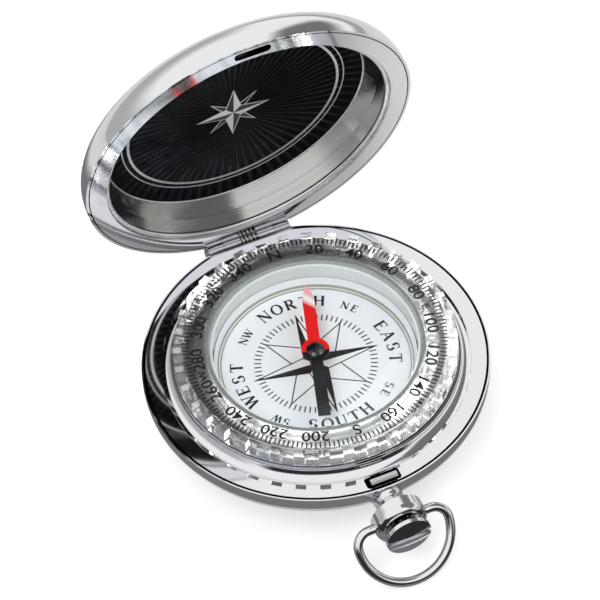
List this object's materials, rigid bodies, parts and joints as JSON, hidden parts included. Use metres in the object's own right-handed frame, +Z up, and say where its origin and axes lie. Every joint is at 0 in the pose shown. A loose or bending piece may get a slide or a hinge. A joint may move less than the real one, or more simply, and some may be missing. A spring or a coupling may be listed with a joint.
{
  "type": "pocket compass",
  "caption": "Round polished pocket compass with a hinged domed lid, clear turning degree ring, needle over a compass rose, and a push crown with a swinging bow for a chain",
  "frame": {"origin": "Centre of the flat back of the case, on the axis of the dial", "axes": "+Z up through the dial, +Y to the hinge, -Y to the pendant and the crown, +X to the right"},
  "size_m": [0.0654, 0.0869, 0.0779],
  "materials": {
    "polished_case": "polished",
    "brushed_wall": "brushed round the axis",
    "steel": "satin",
    "trim": "polished",
    "liner": "black with a radial grain",
    "clear_ring": "clear and glossy",
    "clear_capsule": "clear and glossy",
    "milky_capsule": "milky and glossy",
    "crystal": "clear",
    "dial": "printed, matte",
    "gasket": "clear and soft",
    "needle": "red and black enamel",
    "needle_hub": "red and black enamel",
    "jewel": "polished",
    "cap": "glossy"
  },
  "bodies": {
    "case": {"case_shell": "polished_case", "case_rim": "polished_case", "well_ring": "polished_case", "capsule_body": "milky_capsule", "dial_plate": "dial", "dial_wall": "dial", "pivot_post": "steel", "crystal_gasket": "gasket", "crystal": "crystal", "bezel_retainer": "clear_capsule", "hinge_ear": "polished_case", "hinge_pin": "steel", "hinge_spring": "steel", "pendant_neck": "polished_case", "bow_block": "polished_case", "crown_spring": "steel"},
    "lid": {"lid_shell": "polished_case", "lid_rim": "polished_case", "lid_inner_wall": "brushed_wall", "lid_liner": "liner", "liner_ring_wide": "trim", "liner_ring_thin": "trim", "lid_star": "trim", "lid_hinge_leaf": "polished_case"},
    "bezel": {"bezel_ring": "clear_ring"},
    "needle": {"needle_blade": "needle", "needle_hub": "needle_hub", "pivot_jewel": "jewel", "pivot_cap": "cap"},
    "bow": {"bow": "polished_case"},
    "crown": {"crown_button": "polished_case", "crown_stem": "steel", "latch_catch": "steel"}
  },
  "joints": [
    {"name": "lid_hinge", "type": "hinge", "parent": "case", "child": "lid", "pos_m": [0, 0.03242, 0.00873], "axis": [-1, 0, 0], "range_deg": [-80.9, 0], "stiffness_Nm_per_rad": 0.008, "springref_deg": 22.92},
    {"name": "bezel_turn", "type": "hinge", "parent": "case", "child": "bezel", "pos_m": [0, 0, 0.0116], "axis": [0, 0, 1], "continuous": true},
    {"name": "needle_turn", "type": "hinge", "parent": "case", "child": "needle", "pos_m": [0, 0, 0.01157], "axis": [0, 0, 1], "continuous": true},
    {"name": "bow_swing", "type": "hinge", "parent": "case", "child": "bow", "pos_m": [0, -0.0377, 0.0054], "axis": [1, 0, 0], "range_deg": [-130, 80]},
    {"name": "crown_press", "type": "slide", "parent": "case", "child": "crown", "axis": [0, 1, 0], "range_m": [0, 0.0006], "stiffness_N_per_m": 800, "deforming": ["crown_spring"]}
  ]
}
